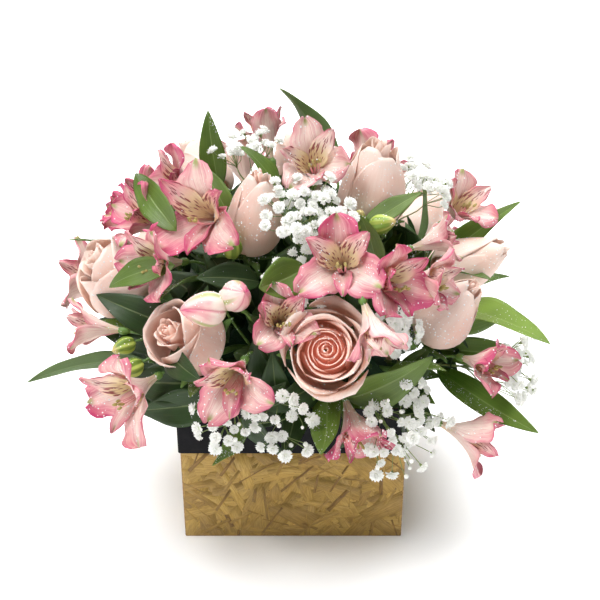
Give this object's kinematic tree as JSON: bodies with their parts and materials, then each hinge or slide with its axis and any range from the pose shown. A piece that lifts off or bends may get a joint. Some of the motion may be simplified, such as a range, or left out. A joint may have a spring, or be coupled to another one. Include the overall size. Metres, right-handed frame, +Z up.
{
  "type": "floral table centerpiece",
  "caption": "Domed arrangement of roses, alstroemeria, gypsophila and leaves in floral foam, in a square strand-board box with a black collar.",
  "frame": {"origin": "centre of the box's underside, on the surface it stands on", "axes": "+Z up; -Y out of the front of the box, towards the viewer; +X to the viewer's right"},
  "size_m": [0.3506, 0.3355, 0.3078],
  "materials": {
    "strand_board": "satin",
    "black_collar": "matte",
    "liner_plastic": "satin",
    "floral_foam": "matte",
    "rose_petal": "satin",
    "alstroemeria_petal": "satin",
    "gypsophila_floret": "matte",
    "leaf": "satin"
  },
  "bodies": {
    "root": {"alstroemeria_back": "alstroemeria_petal", "alstroemeria_back_left": "alstroemeria_petal", "alstroemeria_back_low": "alstroemeria_petal", "alstroemeria_back_right": "alstroemeria_petal", "alstroemeria_centre": "alstroemeria_petal", "alstroemeria_low_front": "alstroemeria_petal", "alstroemeria_low_right": "alstroemeria_petal", "alstroemeria_lower_centre": "alstroemeria_petal", "alstroemeria_lower_left": "alstroemeria_petal", "alstroemeria_right": "alstroemeria_petal", "alstroemeria_top": "alstroemeria_petal", "alstroemeria_top_right": "alstroemeria_petal", "alstroemeria_upper_left": "alstroemeria_petal", "box_back_panel": "strand_board", "box_base_panel": "strand_board", "box_front_panel": "strand_board", "box_left_panel": "strand_board", "box_right_panel": "strand_board", "collar": "black_collar", "foam_block": "floral_foam", "gypsophila_back": "gypsophila_floret", "gypsophila_centre": "gypsophila_floret", "gypsophila_centre_low": "gypsophila_floret", "gypsophila_far_right": "gypsophila_floret", "gypsophila_low_centre": "gypsophila_floret", "gypsophila_low_left": "gypsophila_floret", "gypsophila_low_right": "gypsophila_floret", "gypsophila_right": "gypsophila_floret", "gypsophila_top_left": "gypsophila_floret", "gypsophila_top_right": "gypsophila_floret", "leaf_back_left": "leaf", "leaf_back_right": "leaf", "leaf_centre": "leaf", "leaf_drape": "leaf", "leaf_far_left": "leaf", "leaf_front_left": "leaf", "leaf_front_right": "leaf", "leaf_left_back": "leaf", "leaf_left_curl": "leaf", "leaf_left_inner": "leaf", "leaf_low_front": "leaf", "leaf_low_right": "leaf", "leaf_right": "leaf", "leaf_right_upper": "leaf", "leaf_top": "leaf", "leaf_top_left": "leaf", "leaf_upper_left": "leaf", "liner_tray": "liner_plastic", "rose_back": "rose_petal", "rose_back_left": "rose_petal", "rose_back_left_low": "rose_petal", "rose_back_low": "rose_petal", "rose_back_right": "rose_petal", "rose_centre": "rose_petal", "rose_front": "rose_petal", "rose_front_left": "rose_petal", "rose_left": "rose_petal", "rose_right_lower": "rose_petal", "rose_right_upper": "rose_petal", "rose_top_right": "rose_petal"}
  },
  "joints": []
}
